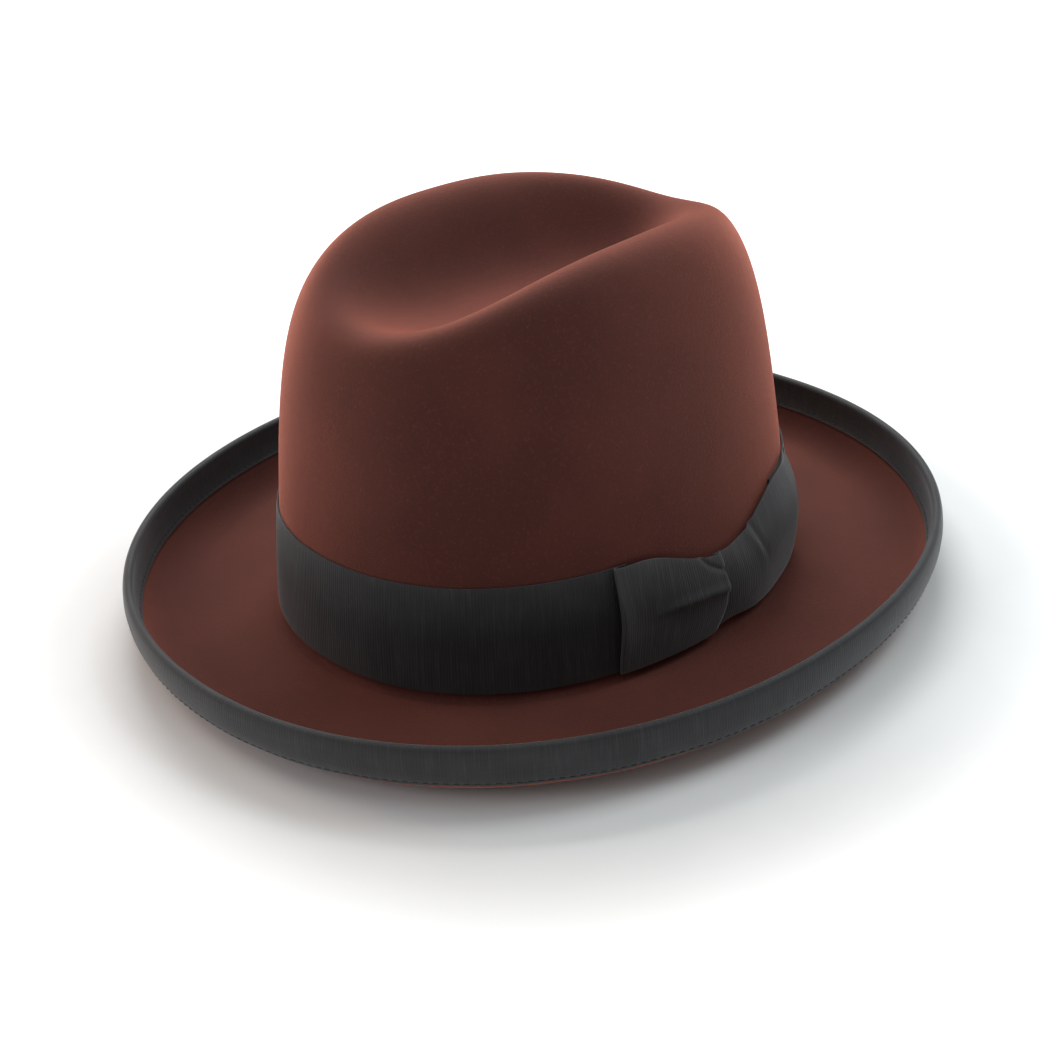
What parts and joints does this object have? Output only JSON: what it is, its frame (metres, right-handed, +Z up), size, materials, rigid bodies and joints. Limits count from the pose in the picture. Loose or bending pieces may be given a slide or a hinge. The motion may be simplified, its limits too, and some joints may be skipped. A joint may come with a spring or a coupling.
{
  "type": "homburg hat",
  "caption": "Stiff felt hat with a centre-dent crown, a curled bound brim, a wide ribbon band with a flat side bow, a leather sweatband and a lining.",
  "frame": {"origin": "centre of the head opening, on the plane of the brim's flat underside that the hat stands on", "axes": "+Z up through the crown, +Y towards the back of the hat, -Y towards the front, +X towards the wearer's left, where the bow is"},
  "size_m": [0.2878, 0.3136, 0.1363],
  "materials": {
    "felt": "matte",
    "grosgrain": "matte",
    "thread": "satin",
    "leather": "satin",
    "reed_plastic": "satin",
    "satin": "satin",
    "clear_sheet": "gloss",
    "ticket_paper": "matte"
  },
  "bodies": {
    "root": {"felt_body": "felt", "brim_binding": "grosgrain", "binding_needle_thread": "thread", "binding_bobbin_thread": "thread", "band_ribbon": "grosgrain", "bow_backing": "grosgrain", "bow_front_wing": "grosgrain", "bow_rear_wing": "grosgrain", "bow_knot": "grosgrain", "sweatband": "leather", "sweatband_join_tab": "leather", "sweatband_reed": "reed_plastic", "reed_tape": "grosgrain", "sweatband_thread": "thread", "sweatband_bow": "grosgrain", "lining_side": "satin", "lining_tip": "satin", "lining_piping": "satin", "tip_shield": "clear_sheet", "size_ticket": "ticket_paper"}
  },
  "joints": []
}
